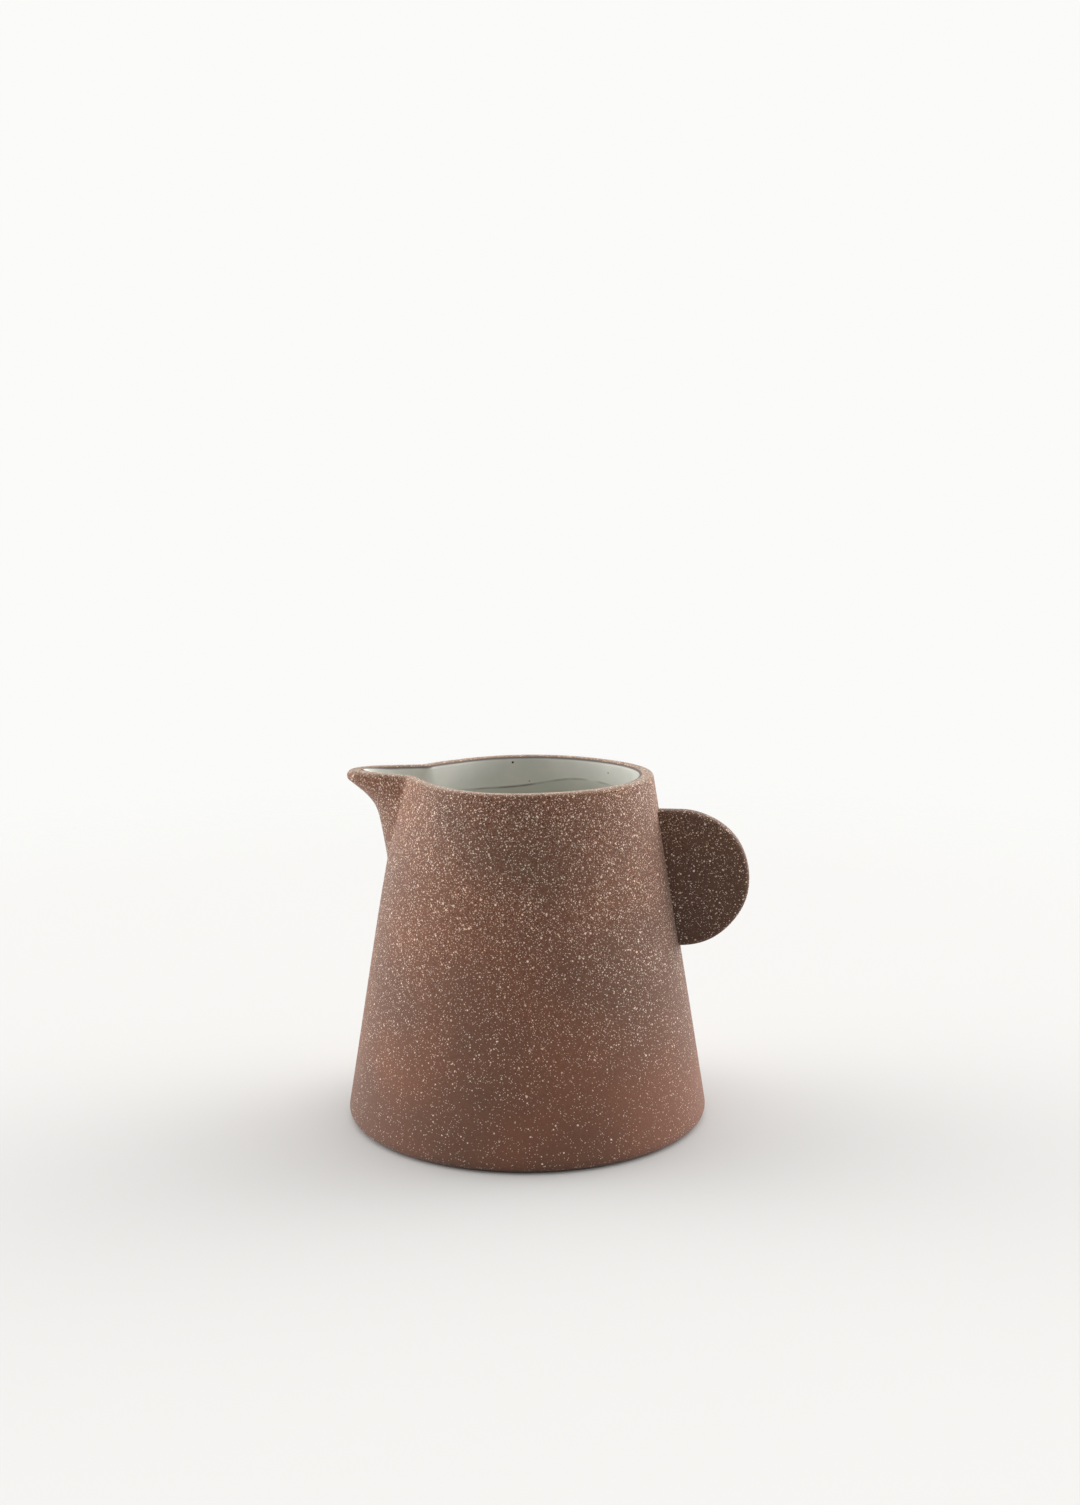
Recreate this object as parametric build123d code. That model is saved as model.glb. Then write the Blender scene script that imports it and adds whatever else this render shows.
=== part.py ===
from build123d import *
import math
import os

# A small stoneware jug, built by hand from slabs of clay: a wall rolled into a cone, a round base,
# a coil pressed into the corner between them, a folded spout, a half-moon handle and a glaze lining.
# Millimetres. The origin is the centre of the underside, +Z is up, the handle points to +X and the
# spout to -X.

# ---------------------------------------------------------------- driving dimensions: the pot
height = 102.6           # from the table to the top of the rim
base_diameter = 108.0    # across the bottom, before its edge is rounded
rim_diameter = 74.6      # across the outside of the rim
wall_thickness = 3.8     # the rolled slab of the wall
base_thickness = 5.0     # the round slab that the wall stands on
foot_round = 3.0         # radius of the softened edge at the table
rim_round = 1.6          # radius on both edges of the bare rim
coil_size = 5.0          # how far the coil reaches along the base and up the wall
coil_hollow = 0.8        # how far the pressed coil is hollowed below a straight chamfer
glaze_thickness = 0.45   # the glass coat inside
glaze_stop = 1.8         # bare clay left between the glaze and the top of the rim

# ---------------------------------------------------------------- driving dimensions: the spout
spout_reach = 16.5       # the lip's tip, beyond the rim
spout_drop = 29.0        # the foot of the spout, below the rim
bend_drop = 8.9          # where the keel turns out into the beak, below the rim
bend_reach = 6.4         # the keel at that bend, beyond the wall
bend_radius = 15.0       # the soft curve of that bend
lip_depth = 3.0          # height of the upright edge of the lip
spout_wall = 3.2         # the folded slab of the spout
tip_thickness = 3.6      # clay between the tip and the end of the channel
lip_nose = 4.2           # plan radius of the tip
foot_nose = 7.5          # plan radius of the keel at the foot
channel_nose = 1.2       # plan radius of the channel's end, inside
root_angle_rim = 22.5    # half of the angle that the spout covers on the wall, at the rim
root_angle_foot = 12.0   # the same at its foot

# ---------------------------------------------------------------- driving dimensions: the handle
handle_radius = 20.2     # the round slab that the half-moon is cut from
handle_reach = 23.4      # how far it stands out from the wall
handle_level = 72.3      # its centre, above the table
handle_thickness = 5.0
handle_round = 1.2       # radius on its edges

# ---------------------------------------------------------------- worked out from these
base_radius = base_diameter / 2
rim_radius = rim_diameter / 2
wall_lean = math.atan((base_radius - rim_radius) / height)
rim_level = height
foot_level = height - spout_drop
bend_level = height - bend_drop
lip_level = height - lip_depth
clear = 4.0              # how far cutting shapes run past what they cut
slices = 8               # level slices that each loft of the spout runs through
channel_start = 0.5      # the channel begins this share of the way out to the wall, in the hold


def outside(z):
    """Radius of the pot's outer face at height z: a straight cone."""
    return base_radius - z * math.tan(wall_lean)


def inside(z, inset=0.0):
    """Radius of its inner face, or of a face that lies inset further in, square to the wall."""
    return outside(z) - (wall_thickness + inset) / math.cos(wall_lean)


def turned(*edges):
    """The solid of revolution about Z of a closed outline drawn in the XZ plane."""
    return revolve(Face(Wire(list(edges))), Axis.Z)


def outline(*points):
    """Straight edges through (radius, height) points, left open."""
    return Polyline(*[(r, 0, z) for r, z in points]).edges()


# ---------------------------------------------------------------- turned pieces
def cone_body():
    """Everything within the outer face, run past the rim: what the spout and handle are cut by."""
    top = rim_level + clear
    return turned(*outline((0, -clear), (outside(-clear), -clear), (outside(top), top), (0, top),
                           (0, -clear)))


def coil_corner(inset=0.0):
    """The three points of the coil's hollowed face: on the base, half way, and on the wall."""
    floor = base_thickness + inset
    low = (inside(floor, inset) - coil_size, floor)
    high = (inside(floor + coil_size, inset), floor + coil_size)
    chord = math.dist(low, high)
    out = ((high[1] - low[1]) / chord, (low[0] - high[0]) / chord)
    middle = ((low[0] + high[0]) / 2 + coil_hollow * out[0],
              (low[1] + high[1]) / 2 + coil_hollow * out[1])
    return low, middle, high


def coil_arc(inset=0.0):
    """The hollowed face of the coil, as one arc."""
    low, middle, high = coil_corner(inset)
    return ThreePointArc((low[0], 0, low[1]), (middle[0], 0, middle[1]), (high[0], 0, high[1]))


def hold(inset, top):
    """The space inside the pot up to a level, over the base and the coil, less an inset coat."""
    low, _, high = coil_corner(inset)
    below = outline((0, top), (0, low[1]), low)
    above = outline(high, (inside(top, inset), top), (0, top))
    return turned(*below, coil_arc(inset), *above)


def base_disc():
    """The round slab: flat underside, softened edge at the table, side in line with the wall."""
    edges = outline((0, 0), (base_radius, 0), (outside(base_thickness), base_thickness),
                    (0, base_thickness), (0, 0))
    face = Face(Wire(list(edges)))
    corner = face.vertices().sort_by(Axis.X)[-1]
    return revolve(face.fillet_2d(foot_round, [corner]), Axis.Z)


def wall_ring():
    """The rolled wall as a plain ring with a rounded rim, before the spout's notch is cut."""
    floor = base_thickness
    edges = outline((outside(floor), floor), (outside(rim_level), rim_level),
                    (inside(rim_level), rim_level), (inside(floor), floor),
                    (outside(floor), floor))
    face = Face(Wire(list(edges)))
    corners = face.vertices().sort_by(Axis.Z)[-2:]
    return revolve(face.fillet_2d(rim_round, corners), Axis.Z)


def seam_coil():
    """The coil pressed into the inner corner of base and wall."""
    low, _, high = coil_corner()
    corner = (inside(base_thickness), base_thickness)
    return turned(*outline(high, corner, low), coil_arc())


# ---------------------------------------------------------------- the spout
def keel(z, foot, bend, tip, inset=0.0):
    """Distance of a keel from the pot's axis at height z.

    Two straight runs, foot to bend and bend to tip, are joined by an arc whose centre lies under
    the beak. The lean is the angle of the keel from the vertical at this height.
    """
    low = math.atan2(bend[0] - foot[0], bend[1] - foot[1])
    high = math.atan2(tip[0] - bend[0], tip[1] - bend[1])
    tangent = bend_radius * math.tan((high - low) / 2)
    start = (bend[0] - tangent * math.sin(low), bend[1] - tangent * math.cos(low))
    centre = (start[0] + bend_radius * math.cos(low), start[1] - bend_radius * math.sin(low))
    radius = bend_radius + inset
    rise = max(-1.0, min(1.0, (z - centre[1]) / radius))
    lean = max(low, min(high, math.asin(rise)))
    on_arc = (centre[0] - radius * math.cos(lean), centre[1] + radius * math.sin(lean))
    return on_arc[0] + (z - on_arc[1]) * math.tan(lean)


def outer_keel(z):
    """The underside edge of the spout."""
    foot = (outside(foot_level), foot_level)
    bend = (outside(bend_level) + bend_reach, bend_level)
    return keel(z, foot, bend, (rim_radius + spout_reach, lip_level))


def channel_keel(z, coat=0.0):
    """The bottom of the channel: it leaves the pot's inner face and ends short of the tip."""
    foot = (inside(foot_level), foot_level)
    raised = bend_level + spout_wall / 2
    bend = (outside(bend_level) + bend_reach - spout_wall, raised)
    tip = (rim_radius + spout_reach - tip_thickness, rim_level)
    return keel(z, foot, bend, tip, coat)


def part_way(z, at_foot, at_rim):
    """A value that changes evenly from the foot of the spout to the rim."""
    share = (z - foot_level) / (rim_level - foot_level)
    return at_foot + share * (at_rim - at_foot)


def root(z):
    """Where the spout's outer flank enters the middle of the wall: (out, across)."""
    angle = math.radians(part_way(z, root_angle_foot, root_angle_rim))
    middle = outside(z) - wall_thickness / 2
    return middle * math.cos(angle), middle * math.sin(angle)


def flank(tip, nose, end):
    """Where a flank that runs from end to the nose circle touches it, and its angle to the axis."""
    centre = tip - nose
    away = math.hypot(centre - end[0], end[1])
    turn = math.atan2(end[1], centre - end[0]) + math.acos(nose / away)
    touch = (centre - nose * math.cos(turn), nose * math.sin(turn))
    return touch, math.atan2(end[1] - touch[1], touch[0] - end[0])


def section(z, tip, nose, end, back):
    """A level slice: square back, two straight flanks and a round nose that points to -X."""
    touch, _ = flank(tip, nose, end)
    half = Polyline((-back, -end[1], z), (-end[0], -end[1], z), (-touch[0], -touch[1], z))
    other = Polyline((-touch[0], touch[1], z), (-end[0], end[1], z), (-back, end[1], z))
    round_end = ThreePointArc((-touch[0], -touch[1], z), (-tip, 0, z), (-touch[0], touch[1], z))
    close = Line((-back, end[1], z), (-back, -end[1], z))
    return Face(Wire([*half.edges(), round_end, *other.edges(), close]))


def outer_slice(z):
    """Level slice of the spout's outside. Its back lies inside the pot and is cut away."""
    end = root(z)
    nose = part_way(z, foot_nose, lip_nose)
    return section(z, outer_keel(z), nose, end, end[0] - wall_thickness)


def channel_slice(z, coat=0.0):
    """Level slice of the channel: the flanks lie in by the spout's wall, and run into the hold."""
    end = root(z)
    _, angle = flank(outer_keel(min(z, lip_level)), part_way(z, foot_nose, lip_nose), end)
    thick = spout_wall + coat
    run = wall_thickness
    end = (end[0] - thick * math.sin(angle) - run * math.cos(angle),
           end[1] - thick * math.cos(angle) + run * math.sin(angle))
    nose = part_way(z, foot_nose - spout_wall, channel_nose)
    return section(z, channel_keel(z, coat), nose, end, end[0] * channel_start)


def levels(low, high, count):
    """Evenly spaced heights, both ends included."""
    return [low + (high - low) * i / (count - 1) for i in range(count)]


def spout_body():
    """The outside of the spout: a loft up the keel, under an upright lip."""
    faces = [outer_slice(z) for z in levels(foot_level - clear, lip_level, slices)]
    lip = extrude(faces[-1], lip_depth, dir=(0, 0, 1))
    return loft(faces) + lip


def channel(coat=0.0):
    """The channel that liquid runs out by, from inside the pot to past the top."""
    heights = levels(foot_level - clear, rim_level + clear, slices)
    return loft([channel_slice(z, coat) for z in heights])


def spout():
    """The folded slab, its edges pressed on the wall's outer face round the notch."""
    return spout_body() - cone_body() - channel()


def body_wall():
    """The rolled wall, with the notch that lets the channel through."""
    return wall_ring() - channel()


# ---------------------------------------------------------------- the handle and the glaze
def handle():
    """A half-moon slab, its straight side cut to the wall's outer face."""
    centre = outside(handle_level) + handle_reach - handle_radius
    disc = Pos(centre, 0, handle_level) * Rot(90, 0, 0) * Cylinder(handle_radius, handle_thickness)
    return fillet(disc.edges().filter_by(GeomType.CIRCLE), handle_round) - cone_body()


def inner_glaze():
    """The glass coat on the base, the coil, the wall and the channel, short of the bare rim."""
    top = rim_level - glaze_stop
    run_out = rim_level + clear
    width = 2 * base_diameter
    over = Pos(0, 0, top) * Box(width, width, height, align=(Align.CENTER, Align.CENTER, Align.MIN))
    lined = hold(0.0, run_out) + channel()
    hollow = hold(glaze_thickness, run_out) + channel(glaze_thickness)
    return lined - hollow - over


pieces = {
    "base_disc": base_disc,
    "body_wall": body_wall,
    "seam_coil": seam_coil,
    "spout": spout,
    "handle": handle,
    "inner_glaze": inner_glaze,
}

os.makedirs("parts", exist_ok=True)
for name, make in pieces.items():
    piece = make()
    export_step(piece, f"parts/{name}.step")
    print(name, "solids", len(piece.solids()), "volume", round(piece.volume))
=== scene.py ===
# %% [markdown]
# # A speckled stoneware jug
# A potter builds this jug from slabs of dark clay with white grit in it: a wall rolled into a cone, a
# round base, a folded spout and a half-moon handle. Only the inside is glazed. The outside stays bare
# and matt, so the look depends on three things: soft hand-made shapes, the specks in the clay, and
# the change from dry clay to wet-looking glass at the rim.
#
# We work around a CAD model that fixes every size. This file loads it, builds a finer surface for
# each of its pieces from formulas, gives each a material, and adds a floor, lights and a camera.

# %% Load the CAD model
import math

import bmesh
import bpy
import numpy as np
from mathutils import Matrix, Vector


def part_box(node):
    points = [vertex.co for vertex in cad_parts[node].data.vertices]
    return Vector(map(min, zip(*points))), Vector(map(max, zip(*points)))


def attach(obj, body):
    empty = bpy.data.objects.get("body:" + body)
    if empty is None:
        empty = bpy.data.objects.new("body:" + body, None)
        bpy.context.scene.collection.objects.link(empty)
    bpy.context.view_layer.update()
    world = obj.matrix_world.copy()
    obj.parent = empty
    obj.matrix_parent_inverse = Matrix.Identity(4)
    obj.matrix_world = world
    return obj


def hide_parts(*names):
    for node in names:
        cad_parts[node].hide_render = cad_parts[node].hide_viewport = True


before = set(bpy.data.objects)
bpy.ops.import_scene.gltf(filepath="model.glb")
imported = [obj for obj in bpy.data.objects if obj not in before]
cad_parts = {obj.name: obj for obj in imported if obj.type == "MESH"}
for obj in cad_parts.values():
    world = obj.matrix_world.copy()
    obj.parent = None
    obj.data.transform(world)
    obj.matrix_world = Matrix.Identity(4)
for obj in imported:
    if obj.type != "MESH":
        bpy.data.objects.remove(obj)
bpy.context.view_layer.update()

print("CAD pieces:", sorted(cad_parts))

# %% [markdown]
# ## Sizes
# The potter thinks in millimetres, so the sizes below do too, and they turn to metres only when a
# mesh is made. The heights and reaches come from the CAD boxes. The rest are sizes of the making: how
# thick the slabs are, how soft the edges, how far the spout is folded out.

# %% Sizes of the pot, read from the CAD boxes where a box holds them
MM = 0.001
wall_low, wall_high = [np.array(corner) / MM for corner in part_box("body_wall")]
spout_low, _ = [np.array(corner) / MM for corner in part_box("spout")]
grip_low, grip_high = [np.array(corner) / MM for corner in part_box("handle")]

rim_level = wall_high[2]          # top of the rim above the table
floor_level = wall_low[2]         # where the wall stands on the base
floor_radius = wall_high[0]       # outside of the wall at that level
rim_radius = 37.3                 # outside of the rim
wall_slab = 3.8                   # the rolled clay slab
glaze_coat = 0.45
tip_reach = -spout_low[0]         # the spout's tip from the axis
spout_foot = spout_low[2]         # where the spout starts to leave the wall
slope = (floor_radius - rim_radius) / (rim_level - floor_level)
print(f"rim {rim_level:.1f} mm high, wall falls in {slope:.4f} mm for each mm up, tip at {tip_reach:.1f}")

# %% [markdown]
# ## The camera
# A small object looks small when the camera is close and a little above it. This one stands half a
# metre away at about the eye height of someone leaning on the table, and looks slightly down, so the
# mouth of the jug opens as a narrow ellipse.

# %% Place the camera
camera_place = Vector((0.0706, -0.5029, 0.1852))
camera_heading = math.radians(7.52)    # turned to the left of straight ahead
camera_tilt = math.radians(8.573)      # looking down
camera_roll = math.radians(-0.219)     # held a hair off level

lens = bpy.data.cameras.new("camera")
lens.lens, lens.sensor_width = 41.8, 36.0
camera = bpy.data.objects.new("camera", lens)
bpy.context.scene.collection.objects.link(camera)
camera.matrix_world = (
    Matrix.Translation(camera_place)
    @ Matrix.Rotation(camera_heading, 4, "Z")
    @ Matrix.Rotation(math.pi / 2 - camera_tilt, 4, "X")
    @ Matrix.Rotation(camera_roll, 4, "Z")
)
bpy.context.scene.camera = camera
print("camera", [round(v, 3) for v in camera_place], "lens", lens.lens)

# %% [markdown]
# ## The skin of the pot as one formula
# On the bench the spout is folded from its own slab and pressed on, and the potter smooths the seam
# until wall and spout read as one skin. So both pieces are cut from one formula: at each direction
# round the pot and each height it gives the distance from the axis. A level slice of the wall is a
# circle. A level slice of the spout is a parabola, blunt at its foot and sharp at the lip. The larger
# of the two wins, with a soft blend where they cross, which makes the valley beside the spout.
# Booleans could join two meshes too, but they leave a hard, uneven seam.

# %% Helpers: blends and ramps on whole arrays
def ramp(x, low, high):
    """0 below low, 1 above high, and between them 3t^2 - 2t^3 of the share t."""
    t = np.clip((x - low) / (high - low), 0, 1)
    return t * t * (3 - 2 * t)


def bell(x, width):
    """exp(-(x / width)^2): 1 at 0, falling away on both sides."""
    return np.exp(-((x / width) ** 2))


def larger(a, b, soft):
    """The larger of two lengths, rounded off by up to a quarter of soft where they are equal."""
    h = np.clip(0.5 + 0.5 * (a - b) / soft, 0, 1)
    return a * h + b * (1 - h) + soft * h * (1 - h)


# %% The outer face
beak_slope = 1.31        # how much more the keel leans out above its bend than below it
keel_slope = 0.350       # how fast the keel leaves the wall below the bend
keel_start = spout_foot + 3.0   # where the keel comes out of the wall, past the smoothed joint
beak_bend = 17.3         # height of the bend above that
beak_soft = 1.8          # half height over which it turns
pinch = 2.6              # how far finger and thumb press the wall in on each side of the spout
pinch_at = math.radians(36)
pinch_wide = math.radians(26)
pinch_deep = 26.0        # how far down the wall that reaches


def cone(z):
    """Radius of the wall's outer face: it falls by slope for each millimetre up."""
    return floor_radius - slope * (z - floor_level)


def keel(z):
    """Reach of the spout's keel: the wall, plus two slopes joined by soft * log(1 + exp(h / soft))."""
    h = z - keel_start
    bend = beak_soft * np.log1p(np.exp((h - beak_bend) / beak_soft))
    return cone(z) + keel_slope * h + beak_slope * bend


def parabola(turn, reach, nose):
    """Radius of a parabola seen from the axis: across^2 = 2 * nose * (reach - out), solved for radius."""
    front = np.minimum(np.abs(turn), math.pi / 2)
    out, across = np.cos(front), np.sin(front)
    return 2 * nose * reach / (nose * out + np.sqrt((nose * out) ** 2 + 2 * nose * reach * across**2))


def pressed(turn, z):
    """How far the wall is pinched in: a bell on each side of the spout, fading down the wall."""
    return pinch * bell(np.abs(turn) - pinch_at, pinch_wide) * bell(rim_level - z, pinch_deep)


def outer_radius(turn, z):
    """Distance of the outer face from the axis, in a direction turned away from the spout."""
    nose = 2.4 + 0.46 * (rim_level - np.maximum(z, spout_foot))
    soft = 0.25 + 0.65 * ramp(z, spout_foot, rim_level)
    spout = parabola(turn, np.maximum(keel(z), 1.0), nose)
    return larger(cone(z) - pressed(turn, z), spout, soft)


# %% The inner face
channel_rise = 1.0       # slope of the channel's floor under the lip
channel_end = 49.3       # where the channel ends at the rim, solid clay beyond it
channel_bend = 7.0       # below the rim, where its floor turns down into the pot


def channel_keel(z):
    """Reach of the channel's floor: a straight run up to the lip over a gentler one, softly joined."""
    h = z - (rim_level - channel_bend)
    bend = beak_soft * np.log1p(np.exp(h / beak_soft))
    return channel_end - channel_rise * channel_bend + 0.16 * h + (channel_rise - 0.16) * bend


def inner_radius(turn, z):
    """Distance of the inner clay face from the axis."""
    inside = cone(z) - wall_slab * math.hypot(1, slope) - pressed(turn, z)
    nose = 1.7 + 0.45 * (rim_level - np.maximum(z, spout_foot))
    return larger(inside, parabola(turn, channel_keel(z), nose), 2.5)


def inner_turn(turn):
    """The direction on the inner face that lies squarely behind one on the outer face."""
    size = np.abs(turn)
    return turn * (0.76 + 0.24 * ramp(size, math.radians(11), math.radians(27)))


def place(turn, radius, z):
    """Points in millimetres from a direction, a radius and a height. The spout points to -X."""
    turn, radius, z = np.broadcast_arrays(turn, radius, z)
    return np.stack([-radius * np.cos(turn), radius * np.sin(turn), z], axis=-1)


def outer(turn, z):
    """Points of the outer face."""
    return place(turn, outer_radius(turn, z), z)


def inner(turn, z):
    """Points of the inner clay face, behind the given directions of the outer one."""
    return place(inner_turn(turn), inner_radius(inner_turn(turn), z), z)


print("keel at the rim", round(float(keel(rim_level)), 1), "before its tip is rounded")

# %% [markdown]
# ## The lip and the joints
# A potter runs a wet leather strip round the rim, which leaves a soft bead with a nearly flat top. At
# the tip of the spout the same strip takes off more, so the tip is blunter. Each column of the skin
# gets its own bead: the outer face is carried straight up to the level of the rim, the inner face too,
# and the two corners are rounded by a curve that starts and ends along them.

# %% Helpers: the bead over the rim
def corner_arc(start, corner, end, count):
    """Arc that touches both sides of a corner: a (1-t)^2 + 2wbt(1-t) + ct^2 over the sum of its weights.

    Start and end lie as far from the corner as each other. With the weight w equal to the sine of half
    the corner's angle, that curve is a true part of a circle.
    """
    t = np.linspace(0, 1, count)[None, :, None]
    side = np.linalg.norm(start - corner, axis=-1, keepdims=True)
    weight = 0.5 * np.linalg.norm(end - start, axis=-1, keepdims=True) / side
    a, b, c = (1 - t) ** 2, 2 * weight * t * (1 - t), t**2
    return (a * start + b * corner + c * end) / (a + b + c)


def rim_start(turn):
    """Height at which the outer face starts to round into the rim, for a ball that rolls along its edge.

    A ball of radius r touches both sides of a corner at r / tan(half its angle) from it. The corner is
    about a right angle on the wall and only a third of one under the tip, so the tip comes out blunt.
    """
    lean = outer_radius(turn, rim_level) - outer_radius(turn, rim_level - 1.0)
    ball = 1.25 + 0.55 * bell(turn, math.radians(9))
    length = ball / np.tan(0.5 * (0.5 * math.pi - np.arctan(lean)))
    return rim_level - length / np.hypot(1, lean)


inner_start = rim_level - 1.2
OUTER_ARC, INNER_ARC = 12, 8
BEAD_POINTS = OUTER_ARC + INNER_ARC


def bead(turn):
    """The rim's bead from outside to inside, one row of points for each direction."""
    turn = turn[:, None]
    top = rim_start(turn)
    step = 0.05
    a, b = outer(turn, top), inner(turn, inner_start)
    rise_a = (outer(turn, top + 0.5) - a) / 0.5
    rise_b = (b - inner(turn, inner_start - step)) / step
    corner_a = a + rise_a * (rim_level - top)[..., None]
    corner_b = b + rise_b * (rim_level - inner_start)
    across = corner_b - corner_a
    unit = across / np.linalg.norm(across, axis=-1, keepdims=True)
    end_a = corner_a + unit * np.linalg.norm(corner_a - a, axis=-1, keepdims=True)
    end_b = corner_b - unit * np.linalg.norm(corner_b - b, axis=-1, keepdims=True)
    return np.concatenate([corner_arc(a, corner_a, end_a, OUTER_ARC),
                           corner_arc(end_b, corner_b, b, INNER_ARC)], axis=1)


def straight(start, end, count):
    """Points in a straight line from start to end."""
    t = np.linspace(0, 1, count)[None, :, None]
    return start + (end - start) * t


# %% [markdown]
# ## From grids to meshes
# Every piece is one or more grids of points. Neighbouring points make four-sided faces. Where a grid
# shrinks to a line or a point, the merged points leave no face behind, and then the piece is closed
# and its faces can be turned to point outwards. A faint wobble is added to every piece by one formula,
# so that pieces that touch keep touching: no hand-rolled pot is a perfect cone.

# %% Helpers: the wobble and the mesh
def by_hand(points):
    """Moves points by slow waves round and up the pot, up to about a quarter of a millimetre."""
    x, y, z = points[..., 0], points[..., 1], points[..., 2]
    turn = np.arctan2(y, x)
    high = z / rim_level
    out = 0.10 * np.sin(2 * turn + 0.7) * high + 0.07 * np.sin(3 * turn - 1.1 + z / 31)
    out = out + 0.05 * np.sin(5 * turn + z / 17)
    up = 0.13 * np.sin(2 * turn + 2.2) * high**2 + 0.06 * np.sin(5 * turn + 0.5) * high**2
    up = up + 0.30 * bell(np.abs(turn) - math.pi, 0.35) * ramp(z, 0.7 * rim_level, rim_level)
    share = np.clip(np.hypot(x, y) / 20, 0, 1) * ramp(z, 0.0, 8.0)
    return points + np.stack([out * np.cos(turn) * share, out * np.sin(turn) * share, up * share], -1)


def grid_faces(rows, columns, first, wrap_rows=False, wrap_columns=False):
    """Corner numbers of the faces of a grid whose points are counted row by row from first."""
    a = np.arange(rows if wrap_rows else rows - 1)[:, None]
    b = np.arange(columns if wrap_columns else columns - 1)[None, :]
    c, d = (a + 1) % rows, (b + 1) % columns
    corners = [a * columns + b, c * columns + b, c * columns + d, a * columns + d]
    return first + np.stack([np.broadcast_to(q, (a.size, b.size)) for q in corners], -1).reshape(-1, 4)


def make_piece(name, grids, sharp=35, **measures):
    """A closed mesh from (points, wrap_rows, wrap_columns) grids in millimetres, and values on them."""
    points, faces, first = [], [], 0
    for grid, wrap_rows, wrap_columns in grids:
        rows, columns = grid.shape[:2]
        points.append(by_hand(grid.reshape(-1, 3)) * MM)
        faces.append(grid_faces(rows, columns, first, wrap_rows, wrap_columns))
        first += rows * columns
    mesh = bpy.data.meshes.new(name)
    mesh.from_pydata(np.concatenate(points), [], np.concatenate(faces))
    for measure, values in measures.items():
        mesh.attributes.new(measure, "FLOAT", "POINT").data.foreach_set("value", values.ravel())
    work = bmesh.new()
    work.from_mesh(mesh)
    bmesh.ops.remove_doubles(work, verts=work.verts, dist=2e-6)
    bmesh.ops.recalc_face_normals(work, faces=work.faces)
    open_edges = sum(not edge.is_manifold for edge in work.edges)
    volume = work.calc_volume(signed=True)
    work.to_mesh(mesh)
    work.free()
    mesh.shade_smooth()
    mesh.set_sharp_from_angle(angle=math.radians(sharp))
    piece = bpy.data.objects.new(name, mesh)
    bpy.context.scene.collection.objects.link(piece)
    print(f"{name}: {len(mesh.polygons)} faces, {open_edges} open edges, {volume * 1e9:.0f} mm3")
    return piece


# %% [markdown]
# ## The wall
# The wall is rolled from one slab and closed into a cone. Behind the spout the potter cuts a deep
# notch in it, and the spout's own slab fills that notch. The edge of the notch is a curve that starts
# at the spout's foot and climbs ever more steeply to the rim. Outside the notch a column runs up the
# outer face, over the bead and down the inner face. Inside it, the column stops at the edge.

# %% The notch and the closed loops of the wall
notch_half = math.radians(24)
notch_foot = spout_foot - 3.0
OUTER_STEPS, INNER_STEPS = 64, 40


def notch(turn):
    """Height of the notch's edge: it grows with the 3.2th power of the share of the way to its side."""
    share = np.clip(np.abs(turn) / notch_half, 0, 1)
    return notch_foot + (inner_start - notch_foot) * share**3.2


def heights(low, high, count):
    """Heights from low to high for each direction: low + (high - low) * t, one row per direction."""
    low, high = np.broadcast_arrays(low, high)
    return low[:, None] + (high - low)[:, None] * np.linspace(0, 1, count)[None, :]


def loops(turn, low, outer_top, inner_top, top, foot):
    """Closed loops: up the outer face, over the top, down the inner face and back along the foot."""
    side = outer(turn[:, None], heights(low, outer_top, OUTER_STEPS))
    back = inner(turn[:, None], heights(inner_top, low, INNER_STEPS))
    return np.concatenate([side, top(turn), back, foot(back[:, -1:], side[:, :1])], axis=1)


def joint(turn):
    """Straight lines through the clay along the notch's edge, from the outer to the inner face."""
    edge = notch(turn)[:, None]
    return straight(outer(turn[:, None], edge), inner(turn[:, None], edge), BEAD_POINTS)


def short_foot(inside, outside):
    """The foot of a wall standing on the base: a straight line in four steps."""
    return straight(inside, outside, 4)


# %% Build the wall
notch_turns = np.linspace(-notch_half, notch_half, 141)
wall_turns = np.linspace(notch_half, 2 * math.pi - notch_half, 231)
wall_turns = (wall_turns + math.pi) % (2 * math.pi) - math.pi

plain = loops(wall_turns, floor_level, rim_start(wall_turns), np.full_like(wall_turns, inner_start),
              bead, short_foot)
notched = loops(notch_turns, floor_level, notch(notch_turns), notch(notch_turns), joint, short_foot)
body_wall = make_piece("stoneware_wall", [(np.concatenate([plain, notched]), True, True)])

# %% [markdown]
# ## The spout
# The spout's slab fills the notch exactly: its edge is the same curve, and its faces come from the same
# formula, so wall and spout meet without a step. At its two upper corners the slab is cut straight
# across, where its bead stands on the joint, and a small flat face closes each end.

# %% Build the spout
def flat_end(loop):
    """The flat end of the spout's slab: a fan from its outline to the average of the outline's points."""
    middle = np.broadcast_to(loop.mean(axis=0), loop.shape)
    return np.stack([loop, middle])


def along_joint(inside, outside):
    """The spout's lower edge, back from the inner to the outer face."""
    return straight(inside, outside, BEAD_POINTS)


spout_grid = loops(notch_turns, notch(notch_turns), rim_start(notch_turns),
                   np.full_like(notch_turns, inner_start), bead, along_joint)
spout = make_piece("stoneware_spout", [
    (spout_grid, False, True),
    (flat_end(spout_grid[0]), False, True),
    (flat_end(spout_grid[-1]), False, True)])

# %% [markdown]
# ## The base and the coil in the corner
# The wall stands on a disc cut from a thicker slab. Its lower edge is rounded with a wet sponge so that
# it doesn't chip on the table. Inside, a thin coil is pressed into the corner between wall and base, to
# close the seam. Both are round, so each is a profile turned about the axis. Blender's Screw modifier
# turns a profile too, but here the same wobble has to move these points as moves the wall's.

# %% Helpers: turning a profile
full_turn = np.linspace(0, 2 * math.pi, 300, endpoint=False)


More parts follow.
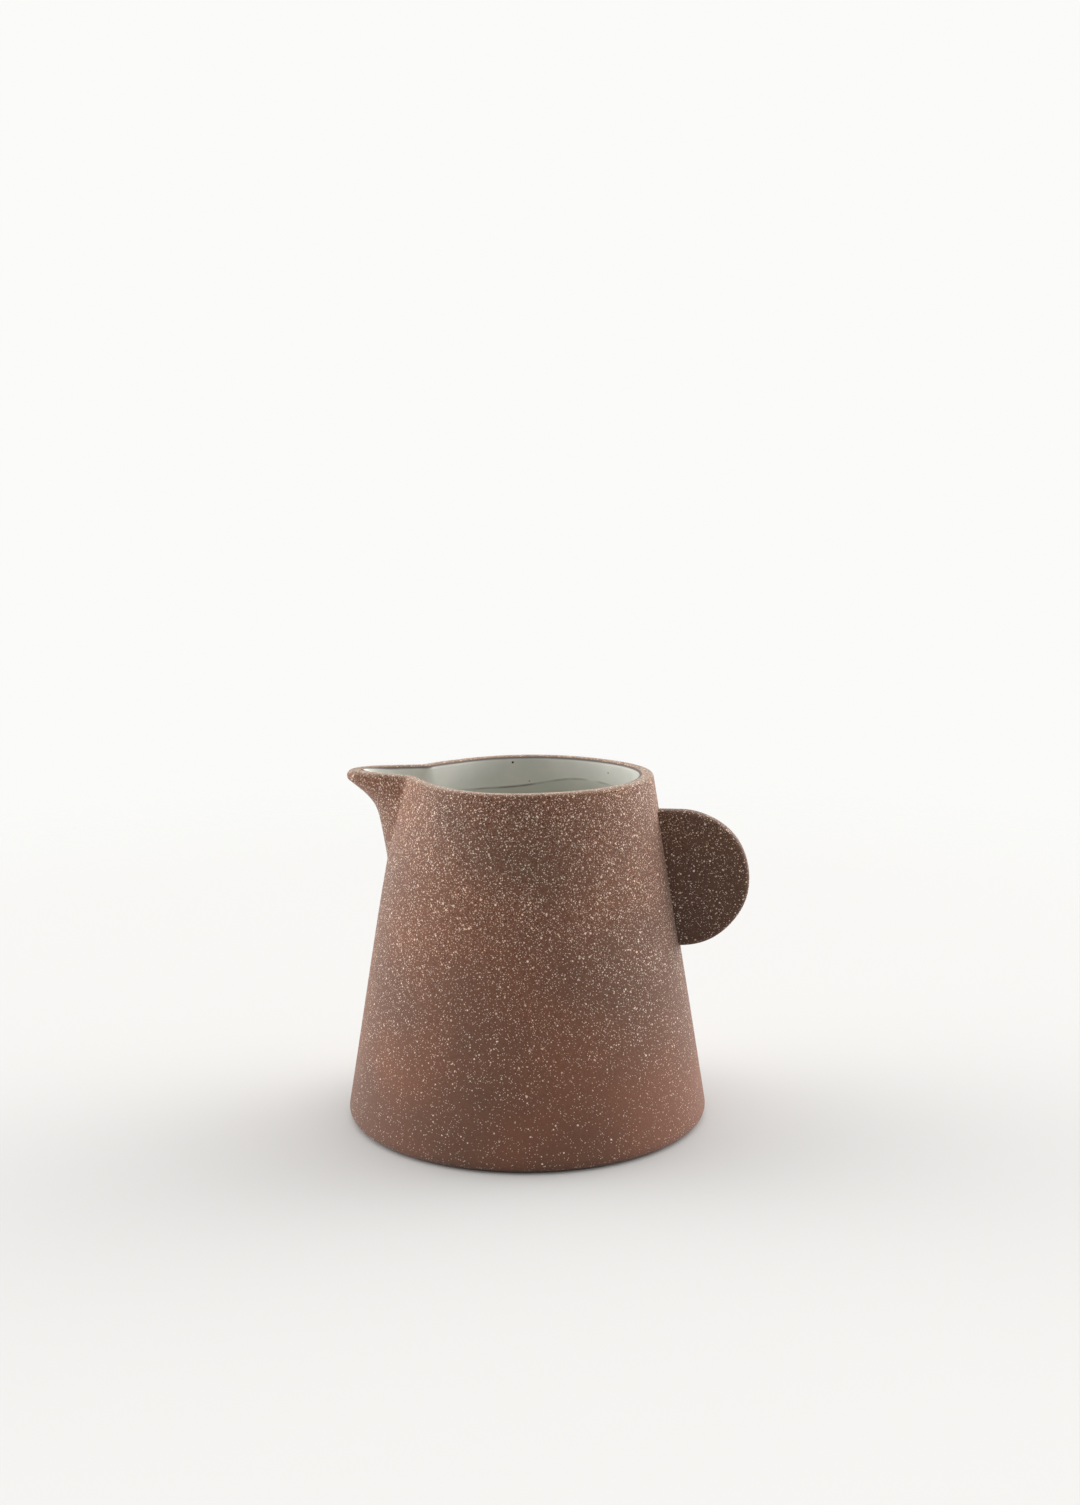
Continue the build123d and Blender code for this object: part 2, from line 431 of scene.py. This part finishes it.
def turned(profile):
    """Carries a profile of (radius, height) points round the axis: one row for each direction."""
    profile = np.asarray(profile, float)
    return place(full_turn[:, None], profile[None, :, 0], profile[None, :, 1])


def round_edge(centre, size, start, end, count):
    """Points of an arc: centre + size * (cos, sin) of angles from start to end in degrees."""
    angle = np.radians(np.linspace(start, end, count))
    return [(centre[0] + size * c, centre[1] + size * s) for c, s in zip(np.cos(angle), np.sin(angle))]


def run(start, end, count):
    """Points along a straight run of a profile, without its last one."""
    t = np.linspace(0, 1, count, endpoint=False)
    return [(start[0] + (end[0] - start[0]) * v, start[1] + (end[1] - start[1]) * v) for v in t]


# %% Build the base and the coil
sponge = 3.0             # radius of the base's rounded edge
lift = 0.35              # the middle of the base sinks a little as it dries, off the table
lean = math.degrees(math.atan(slope))
edge_centre = (float(cone(sponge)) - sponge * math.hypot(1, slope), sponge)
inside_floor = float(cone(floor_level)) - wall_slab * math.hypot(1, slope)

under = [(r, lift * (1 - ramp(r, 30.0, edge_centre[0]))) for r in np.linspace(0, edge_centre[0], 24)]
edge = round_edge(edge_centre, sponge, -90, lean, 14)
wall_foot, middle = (floor_radius, floor_level), (0, floor_level)
base_profile = under[:-1] + edge[:-1] + run(edge[-1], wall_foot, 4) + run(wall_foot, middle, 30) + [middle]
base_disc = make_piece("stoneware_base", [(turned(base_profile), True, False)])

coil = 5.0               # how far the coil reaches along wall and base
coil_hollow = 0.8        # how hollow the finger leaves it
coil_top = floor_level + coil
coil_low = (inside_floor - coil, floor_level)
coil_high = (float(cone(coil_top)) - wall_slab * math.hypot(1, slope), coil_top)


def coil_face(count):
    """The coil's hollow face: a straight line with a bow of 4 * hollow * t * (1 - t) into the corner."""
    t = np.linspace(0, 1, count)
    bow = 4 * coil_hollow * t * (1 - t) / math.sqrt(2)
    return [(coil_low[0] + (coil_high[0] - coil_low[0]) * v + b, coil_low[1] + coil * v - b)
            for v, b in zip(t, bow)]


corner = (inside_floor, floor_level)
coil_profile = coil_face(12)[:-1] + run(coil_high, corner, 8) + run(corner, coil_low, 8)
seam_coil = make_piece("stoneware_seam_coil", [(turned(coil_profile), True, True)])

# %% [markdown]
# ## The handle
# The handle is half of a round biscuit cut from a rolled slab, pressed onto the wall. Its outline is a
# long arc and a short straight top, and the back follows the wall and sinks a little way into it. The
# potter runs a finger along the cut edge. The grid goes round the outline in one direction, and in the
# other from the middle of one flat face, over the rounded edge, to the middle of the other.

# %% Build the handle
grip_centre = (45.4, 0.5 * (grip_low[2] + grip_high[2]))   # of its arc: out from the axis, and up
grip_radius = 0.5 * (grip_high[2] - grip_low[2])
grip_half = 0.5 * (grip_high[1] - grip_low[1])
grip_round = 1.3         # radius left on its edges by the finger
grip_sunk = 2.9          # how deep its back sits in the wall
grip_middle = (51.0, grip_centre[1])                        # of its flat face
FACE_STEPS = 20


def grip_outline():
    """The outline as (x, z) points: straight top, half circle, and a back that follows the wall."""
    top, bottom = grip_centre[1] + grip_radius, grip_centre[1] - grip_radius
    ahead = np.linspace(float(cone(top)) - grip_sunk, grip_centre[0], 14, endpoint=False)
    angle = np.linspace(math.pi / 2, -math.pi / 2, 150)
    worn = grip_radius + 0.16 * np.sin(2.3 * angle + 0.6) - 0.06 * np.sin(7 * angle)
    arc = np.stack([grip_centre[0] + worn * np.cos(angle), grip_centre[1] + worn * np.sin(angle)], -1)
    level = np.linspace(bottom, top, 60, endpoint=False)[1:]
    back = np.stack([cone(level) - grip_sunk, level], -1)
    return np.concatenate([np.stack([ahead, np.full_like(ahead, arc[0, 1])], -1), arc, back])


def outwards(outline):
    """Unit normals of a closed outline that runs clockwise: its tangent turned a quarter left."""
    along = np.roll(outline, -1, 0) - np.roll(outline, 1, 0)
    along = along / np.linalg.norm(along, axis=1, keepdims=True)
    return np.stack([-along[:, 1], along[:, 0]], -1)


def grip_grid():
    """Rows go from one flat face over the edge to the other: inset and half thickness for each row."""
    outline = grip_outline()
    normal = outwards(outline)
    angle = np.linspace(0, math.pi / 2, 8)
    inset = np.concatenate([1 - np.cos(angle)[::-1], 1 - np.cos(angle)]) * grip_round
    level = grip_half - grip_round * (1 - np.sin(angle))
    across = np.concatenate([-level[::-1], level])
    shown = ramp(outline[:, 0] - cone(outline[:, 1]) + grip_sunk, 0.2, 2.4)
    edge = outline[None] - (inset[:, None] * shown[None])[..., None] * normal[None]
    share = np.linspace(0, 1, FACE_STEPS, endpoint=False)[:, None, None]
    middle = np.array(grip_middle)
    face = middle + (edge[:1] - middle) * share
    flat = np.concatenate([face, edge, face[::-1]])
    side = np.concatenate([np.full(FACE_STEPS, -grip_half), across, np.full(FACE_STEPS, grip_half)])
    side = np.broadcast_to(side[:, None], flat.shape[:2])
    x, z = flat[..., 0], flat[..., 1]
    uneven = 0.10 * np.sin(x / 5.1 + 0.8) * np.sin(z / 6.3) + 0.06 * np.sin((x + z) / 3.7)
    return np.stack([x, side + uneven * ramp(x, 45.0, 50.0), z], -1)


handle = make_piece("stoneware_handle", [(grip_grid(), False, True)])

# %% [markdown]
# ## The glaze inside
# The liner is poured in, swirled round and poured out again, so it follows the clay everywhere inside
# and stops on the rim, where it is wiped off. Fired, it is a glass skin half a millimetre
# thick. A Solidify modifier could give a copy of the clay a thickness. Worked out directly, the skin
# can also be thicker below a wavy line, where the second half of the pour ran over the first, and it
# can end in a rounded edge near the crest of the rim.

# %% The clay face under the glaze, from the middle of the floor to the rim
GLAZE_OVER = 5           # of the points of the bead's inner arc, those the glaze covers
glaze_roll = 0.9         # how far from its edge the glaze reaches its full thickness
glaze_turns = np.concatenate([np.linspace(-notch_half, notch_half, 121),
                              np.linspace(notch_half, 2 * math.pi - notch_half, 221)[1:-1]])
glaze_turns = (glaze_turns + math.pi) % (2 * math.pi) - math.pi


def glaze_bed(turn):
    """Points of the clay under the glaze: floor, coil, then the inner face up to the glaze's edge."""
    low = np.array([(r, floor_level) for r in np.linspace(0, coil_low[0], 30)] + coil_face(12)[1:])
    start = place(inner_turn(turn)[:, None], low[None, :, 0], low[None, :, 1])
    level = heights(coil_high[1], np.full_like(turn, inner_start), 70)[:, 1:-1]
    over = bead(turn)[:, :-GLAZE_OVER - 1:-1]
    return np.concatenate([start, inner(turn[:, None], level), over], axis=1)


def facing(grid):
    """Unit normals into the pot, of a grid closed in its first direction: around x up for each point."""
    around = np.roll(grid, -1, 0) - np.roll(grid, 1, 0)
    up = np.gradient(grid, axis=1)
    normal = np.cross(around, up)
    normal = normal / np.maximum(np.linalg.norm(normal, axis=-1, keepdims=True), 1e-9)
    normal[:, 0] = (0, 0, 1)
    return normal


def pour_line(turn):
    """Height of the edge of the second pour: slow waves round the pot, 6 to 10 mm below the rim."""
    wave = 1.6 * np.cos(3 * turn) + 0.3 * np.sin(7 * turn + 1.0)
    return rim_level - 8.4 + wave


# %% Build the glaze
def glaze_skin(turn):
    """Bed and face of the glaze as one loop, and two distances: from its edge and below the pour line.

    The face is the bed moved out along its normals by the thickness, and near the edge the thickness
    falls as a quarter circle does: sqrt(1 - (1 - d / glaze_roll)^2) for a distance d to the edge.
    """
    bed = glaze_bed(turn)
    normal = facing(bed)
    below = pour_line(turn)[:, None] - bed[..., 2]
    thick = glaze_coat + 0.10 * ramp(below, -0.4, 0.5) - 0.05 * ramp(below, 0.5, 4.0)
    left = np.linalg.norm(bed - bed[:, -1:], axis=-1)
    edge = np.sqrt(1 - (1 - np.clip(left / glaze_roll, 0, 1)) ** 2)
    face = (bed + normal * (thick * edge)[..., None])[:, ::-1]
    return (np.concatenate([bed, face], axis=1), np.concatenate([left, left[:, ::-1]], axis=1),
            np.concatenate([below, below[:, ::-1]], axis=1))


skin, from_edge, below_pour_line = glaze_skin(glaze_turns)
inner_glaze = make_piece("liner_glaze_skin", [(skin, True, False)], sharp=60,
                         from_edge=from_edge, below_pour_line=below_pour_line)

# %% [markdown]
# ## Riding on the frame
# Nothing on a jug moves, so all pieces belong to one body. Each takes the place of its CAD piece.

# %% Attach each piece to the jug's one body, and hide the CAD piece it replaces
finished = {"body_wall": body_wall, "spout": spout, "base_disc": base_disc, "seam_coil": seam_coil,
            "handle": handle, "inner_glaze": inner_glaze}
for node_name, piece in finished.items():
    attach(piece, "root")
    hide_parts(node_name)
print(len(finished), "pieces tied to their CAD pieces")

# %% [markdown]
# ## Building materials
# A material is a small graph of nodes. One helper adds a node, sets it up and links it, and one turns
# the colours, which are written as they look on a screen, into the linear values the renderer adds
# up. Patterns are worked out in millimetres on the piece itself, so they stay put when it turns.

# %% Helpers: colours and nodes
def linear(code):
    """sRGB hex to linear: c / 12.92 up to 0.04045, and above it ((c + 0.055) / 1.055) ^ 2.4."""
    c = np.array([int(code[i:i + 2], 16) for i in (1, 3, 5)]) / 255
    c = np.where(c <= 0.04045, c / 12.92, ((c + 0.055) / 1.055) ** 2.4)
    return (*[float(v) for v in c], 1.0)


def add(tree, kind, sockets=(), **settings):
    """Adds a node. Settings are its properties. Sockets are values, or outputs to link from."""
    made = tree.nodes.new("ShaderNode" + kind)
    for key, value in settings.items():
        setattr(made, key, value)
    for key, value in dict(sockets).items():
        if isinstance(value, bpy.types.NodeSocket):
            tree.links.new(value, made.inputs[key])
        else:
            made.inputs[key].default_value = value
    return made


def new_material(name):
    """An empty material with its output, and its piece's own position in millimetres."""
    material = bpy.data.materials.new(name)
    material.use_nodes = True
    tree = material.node_tree
    tree.nodes.clear()
    output = add(tree, "OutputMaterial")
    where = add(tree, "TexCoord").outputs["Object"]
    where = add(tree, "VectorMath", {0: where, 1: (1000, 1000, 1000)}, operation="MULTIPLY").outputs[0]
    return material, tree, output, where


# %% [markdown]
# ## Raw speckled stoneware
# This is a dark red-brown stoneware body with white grog: crushed, already fired clay that stays pale
# when the body around it fires brown. Wiping the leather-hard pot with a sponge washes the finest clay
# off and leaves the grains standing at the surface. Unglazed and fired, it is dry and matt, with no
# highlight at all, only a dusty brightening where it is seen at a grazing angle.
#
# The grains are 0.2 to 0.8 mm across and lie at random through the clay, so they are drawn as small
# balls in space, cut by the surface wherever it passes. A 3-D Voronoi texture gives one point for
# each cell, and a random colour for each cell picks which cells hold a grain and how big it is.

# %% Raw stoneware
# grains by size: spacing of their cells, largest radius, share of cells that hold one, and how evenly
# they are spread: towards the foot of the jug there are fewer grains, and fewest of the big ones
GROG = ((1.30, 0.37, 0.22, 0.00), (0.80, 0.26, 0.52, 0.05), (0.46, 0.16, 0.78, 0.30))
GRID_TILT = (-math.asin(1 / math.sqrt(3)), math.pi / 4, 0.0)   # turns the up axis to a cube's diagonal


def raw_stoneware(name, clay, warm, pale, crowd):
    """The bare clay: a dark and a warm body colour, a pale one for its sand, and how much grog."""
    material, tree, output, where = new_material(name)
    ragged = add(tree, "TexNoise", {"Vector": where, "Scale": 4.0, "Detail": 1.0}).outputs["Color"]
    ragged = add(tree, "VectorMath", {0: ragged, 1: (0.1, 0.1, 0.1), 2: where},
                 operation="MULTIPLY_ADD").outputs[0]
    # stood on a corner, the grid that grains are dealt out on has no layer along a face of the jug
    ragged = add(tree, "Mapping", {"Vector": ragged, "Rotation": GRID_TILT}).outputs[0]
    height = add(tree, "SeparateXYZ", {0: where}).outputs["Z"]

    # where grains are crowded: soft patches about 17 mm wide, and more of them towards the rim
    patches = add(tree, "TexNoise", {"Vector": where, "Scale": 0.06, "Detail": 2.0}).outputs["Fac"]
    high = add(tree, "MapRange", {"Value": height, "From Min": 12.0, "From Max": rim_level,
                                  "To Min": 0.06, "To Max": 1.28}).outputs[0]
    patchy = add(tree, "MapRange", {"Value": patches, "From Min": 0.35, "From Max": 0.65,
                                    "To Min": 0.75, "To Max": 1.25}).outputs[0]
    crowded = add(tree, "Math", {0: high, 1: patchy}, operation="MULTIPLY").outputs[0]

    grains = None
    for cell, radius, share, even in GROG:
        cells = add(tree, "TexVoronoi", {"Vector": ragged, "Scale": 1 / cell})
        pick = add(tree, "SeparateColor", {0: cells.outputs["Color"]})
        limit = add(tree, "Math", {0: crowded, 1: share * crowd, 2: even * share * crowd},
                    operation="MULTIPLY_ADD").outputs[0]
        chosen = add(tree, "Math", {0: pick.outputs[0], 1: limit}, operation="LESS_THAN").outputs[0]
        reach = add(tree, "MapRange", {"Value": pick.outputs[1], "To Min": 0.55 * radius / cell,
                                       "To Max": radius / cell}).outputs[0]
        inside = add(tree, "Math", {0: reach, 1: cells.outputs["Distance"]},
                     operation="SUBTRACT").outputs[0]
        soft = add(tree, "MapRange", {"Value": inside, "From Min": -0.02, "From Max": 0.05},
                   interpolation_type="SMOOTHSTEP").outputs[0]
        shade = add(tree, "MapRange", {"Value": pick.outputs[2], "To Min": 0.55, "To Max": 1.0})
        grain = add(tree, "Math", {0: soft, 1: chosen}, operation="MULTIPLY").outputs[0]
        grain = add(tree, "Math", {0: grain, 1: shade.outputs[0]}, operation="MULTIPLY").outputs[0]
        grains = grain if grains is None else add(
            tree, "Math", {0: grains, 1: grain}, operation="MAXIMUM").outputs[0]

    # pits between them, where the sponge pulled a grain out or washed the clay away
    holes = add(tree, "TexVoronoi", {"Vector": ragged, "Scale": 1 / 0.9})
    holes = add(tree, "MapRange", {"Value": holes.outputs["Distance"], "From Min": 0.34,
                                   "From Max": 0.14}, interpolation_type="SMOOTHSTEP").outputs[0]
    holes = add(tree, "Math", {0: holes, 1: crowded}, operation="MULTIPLY").outputs[0]

    # the clay itself: warm and dark areas about 33 mm wide, and a mix of its own half-millimetre sand
    broad = add(tree, "TexNoise", {"Vector": where, "Scale": 0.03, "Detail": 3.0}).outputs["Fac"]
    broad = add(tree, "MapRange", {"Value": broad, "From Min": 0.38, "From Max": 0.64}).outputs[0]
    sand = add(tree, "TexNoise", {"Vector": where, "Scale": 1.8, "Detail": 3.0,
                                  "Roughness": 0.75}).outputs["Fac"]
    sand = add(tree, "MapRange", {"Value": sand, "From Min": 0.40, "From Max": 0.72}).outputs[0]
    body = add(tree, "Mix", {0: broad, 6: linear(clay), 7: linear(warm)}, data_type="RGBA").outputs[2]
    fine = add(tree, "MapRange", {"Value": height, "From Min": 0.0, "From Max": rim_level,
                                  "To Min": 0.15, "To Max": 0.42}).outputs[0]
    fine = add(tree, "Math", {0: sand, 1: fine}, operation="MULTIPLY").outputs[0]
    body = add(tree, "Mix", {0: fine, 6: body, 7: linear(pale)}, data_type="RGBA").outputs[2]
    # the crest of the rim is paler than the rest: partly the clay rubbed with a wet leather strip, and
    # partly a painted highlight where its top catches the light from above
    crest_wipe_and_highlight = add(tree, "MapRange", {"Value": height, "From Min": rim_level - 0.8,
                                   "From Max": rim_level, "To Max": 0.45},
                interpolation_type="SMOOTHSTEP").outputs[0]
    body = add(tree, "Mix", {0: crest_wipe_and_highlight, 6: body, 7: linear("#A3917B")}, data_type="RGBA").outputs[2]
    # painted shade: the pits are darkened in the colour here, as well as sunk in the relief below
    dark = add(tree, "Math", {0: holes, 1: 0.7}, operation="MULTIPLY").outputs[0]
    body = add(tree, "Mix", {0: dark, 6: body, 7: linear("#2D1F19")}, data_type="RGBA").outputs[2]
    white = add(tree, "Mix", {0: broad, 6: linear("#FFEDDA"), 7: linear("#FFDFC6")},
                data_type="RGBA").outputs[2]
    colour = add(tree, "Mix", {0: grains, 6: body, 7: white}, data_type="RGBA").outputs[2]

    # relief: sand a few hundredths of a millimetre high, grains that stand proud, pits that don't
    relief = add(tree, "Math", {0: sand, 1: 0.6, 2: grains}, operation="MULTIPLY_ADD").outputs[0]
    relief = add(tree, "Math", {0: relief, 1: holes}, operation="SUBTRACT").outputs[0]
    bump = add(tree, "Bump", {"Height": relief, "Strength": 0.8, "Distance": 0.00010}).outputs[0]
    shader = add(tree, "BsdfPrincipled", {"Base Color": colour, "Roughness": 0.88, "Normal": bump,
                                          "IOR": 1.5, "Specular IOR Level": 0.35,
                                          "Sheen Weight": 0.12, "Sheen Roughness": 0.5})
    tree.links.new(shader.outputs[0], output.inputs[0])
    return material


stoneware = raw_stoneware("raw speckled stoneware", "#694839", "#794E3B", "#AA836A", 1.0)
# painted shade: a darker copy of the clay, with fewer pale grains, for the handle that stands in the
# body's shade and faces the dim front
stoneware_handle = raw_stoneware("raw speckled stoneware, handle slab", "#5B4236", "#654738", "#8E6F5C",
                                 0.68)
for piece in (body_wall, spout, base_disc, seam_coil):
    piece.data.materials.append(stoneware)
handle.data.materials.append(stoneware_handle)
print("clay:", stoneware.name, "and", stoneware_handle.name)

# %% [markdown]
# ## Liner glaze
# The liner is a glossy, slightly green-grey white stoneware glaze, poured and fired to about 1230
# degrees. It is glass, so it is smooth and mirrors the light of the room above the mouth. Iron from the
# dark clay bleeds into it as small dark specks, and it is thinner and warmer towards its upper edge.

# %% Liner glaze
material, tree, output, where = new_material("grey white liner glaze")
cloud = add(tree, "TexNoise", {"Vector": where, "Scale": 0.09, "Detail": 3.0}).outputs["Fac"]
cloud = add(tree, "MapRange", {"Value": cloud, "From Min": 0.35, "From Max": 0.65}).outputs[0]
glaze_colour = add(tree, "Mix", {0: cloud, 6: linear("#DBDBD3"), 7: linear("#E6E4DC")},
                   data_type="RGBA").outputs[2]

# below the pour line the glaze is thicker and greener, and its edge shows as a thin dark line
below = add(tree, "Attribute", attribute_name="below_pour_line").outputs["Fac"]
thicker = add(tree, "MapRange", {"Value": below, "From Min": -0.2, "From Max": 0.5, "To Max": 0.55},
              interpolation_type="SMOOTHSTEP").outputs[0]
glaze_colour = add(tree, "Mix", {0: thicker, 6: glaze_colour, 7: linear("#C2C2B4")},
                   data_type="RGBA").outputs[2]
off_line = add(tree, "Math", {0: below}, operation="ABSOLUTE").outputs[0]
line = add(tree, "MapRange", {"Value": off_line, "From Min": 0.0, "From Max": 0.55, "To Min": 0.9,
                              "To Max": 0.0}, interpolation_type="SMOOTHSTEP").outputs[0]
line = add(tree, "Math", {0: line, 1: cloud}, operation="MULTIPLY").outputs[0]
glaze_colour = add(tree, "Mix", {0: line, 6: glaze_colour, 7: linear("#77726A")},
                   data_type="RGBA").outputs[2]

# at its edge on the rim it thins out over the dark clay, with a paler roll just behind that
edge = add(tree, "Attribute", attribute_name="from_edge").outputs["Fac"]
thin = add(tree, "MapRange", {"Value": edge, "From Min": 0.45, "From Max": 0.90, "To Min": 0.92,
                              "To Max": 0.0}, interpolation_type="SMOOTHSTEP").outputs[0]
glaze_colour = add(tree, "Mix", {0: thin, 6: glaze_colour, 7: linear("#4A382C")},
                   data_type="RGBA").outputs[2]
dry = add(tree, "MapRange", {"Value": thin, "To Min": 0.16, "To Max": 0.85}).outputs[0]

# iron specks up to half a millimetre across, one in about every 6 mm
cells = add(tree, "TexVoronoi", {"Vector": where, "Scale": 1 / 5.0})
pick = add(tree, "SeparateColor", {0: cells.outputs["Color"]})
chosen = add(tree, "Math", {0: pick.outputs[0], 1: 0.5}, operation="LESS_THAN").outputs[0]
iron = add(tree, "MapRange", {"Value": cells.outputs["Distance"], "From Min": 0.10, "From Max": 0.05},
           interpolation_type="SMOOTHSTEP").outputs[0]
iron = add(tree, "Math", {0: iron, 1: chosen}, operation="MULTIPLY").outputs[0]
glaze_colour = add(tree, "Mix", {0: iron, 6: glaze_colour, 7: linear("#40332A")},
                   data_type="RGBA").outputs[2]

ripple = add(tree, "TexNoise", {"Vector": where, "Scale": 0.12, "Detail": 1.0}).outputs["Fac"]
bump = add(tree, "Bump", {"Height": ripple, "Strength": 0.35, "Distance": 0.0004}).outputs[0]
shader = add(tree, "BsdfPrincipled", {"Base Color": glaze_colour, "Roughness": dry, "IOR": 1.52,
                                      "Normal": bump})
tree.links.new(shader.outputs[0], output.inputs[0])
inner_glaze.data.materials.append(material)
print("glaze:", material.name)

# %% [markdown]
# ## Floor and light
# The jug stands on a plain pale surface in a white room. Most of the light comes over the back and
# from the two sides, and least from where we stand, so both flanks of the cone glow and its middle
# stays deep. A smooth white room gives this light best: its brightness changes only with direction.
# A few lamps would give the same brightness, but with shadows that are too crisp.

# %% The floor, which melts into the white background at its edge
floor_size = 1.6
corners = np.array([(-1, -1, 0), (1, -1, 0), (1, 1, 0), (-1, 1, 0)], float) * floor_size
ground = bpy.data.meshes.new("floor")
ground.from_pydata(corners, [], [(0, 1, 2, 3)])
floor = bpy.data.objects.new("floor", ground)
bpy.context.scene.collection.objects.link(floor)

material, tree, output, where = new_material("white painted board")
away = add(tree, "VectorMath", {0: where}, operation="LENGTH").outputs["Value"]
fade = add(tree, "MapRange", {"Value": away, "From Min": 250.0, "From Max": 700.0},
           interpolation_type="SMOOTHERSTEP").outputs[0]
board = add(tree, "BsdfPrincipled", {"Base Color": linear("#CFCECC"), "Roughness": 0.9,
                                     "Specular IOR Level": 0.2}).outputs[0]
clear = add(tree, "BsdfTransparent").outputs[0]
mixed = add(tree, "MixShader", {0: fade, 1: board, 2: clear}).outputs[0]
tree.links.new(mixed, output.inputs[0])
ground.materials.append(material)

# %% The white room
room = bpy.data.worlds.new("white room")
bpy.context.scene.world = room
room.use_nodes = True
tree = room.node_tree
tree.nodes.clear()
direction = add(tree, "TexCoord").outputs["Generated"]
base = add(tree, "VectorMath", {0: direction, 1: (0.0, 0.85, 0.52)}, operation="DOT_PRODUCT")
strength = add(tree, "MapRange", {"Value": base.outputs["Value"], "From Min": -1.0, "From Max": 1.0,
                                  "To Min": 0.0, "To Max": 0.95}).outputs[0]
for lamp, toward, tightness, power in (("left window", (-0.97, 0.12, 0.12), 7.0, 6.4),
                                       ("right window", (0.82, 0.54, 0.12), 7.0, 6.5),
                                       ("ceiling", (0.05, 0.30, 0.95), 4.0, 0.9)):
    facing_it = add(tree, "VectorMath", {0: direction, 1: toward}, operation="DOT_PRODUCT")
    facing_it = add(tree, "Math", {0: facing_it.outputs["Value"], 1: 0.0}, operation="MAXIMUM")
    lobe = add(tree, "Math", {0: facing_it.outputs[0], 1: tightness}, operation="POWER", label=lamp)
    strength = add(tree, "Math", {0: lobe.outputs[0], 1: power, 2: strength},
                   operation="MULTIPLY_ADD").outputs[0]
glow = add(tree, "Background", {"Color": linear("#FFFFFF"), "Strength": strength}).outputs[0]
seen = add(tree, "Background", {"Color": linear("#FBFBF9"), "Strength": 1.0}).outputs[0]
looking = add(tree, "LightPath").outputs["Is Camera Ray"]
both = add(tree, "MixShader", {0: looking, 1: glow, 2: seen}).outputs[0]
tree.links.new(both, add(tree, "OutputWorld").inputs[0])

bpy.context.scene.view_settings.view_transform = "Standard"
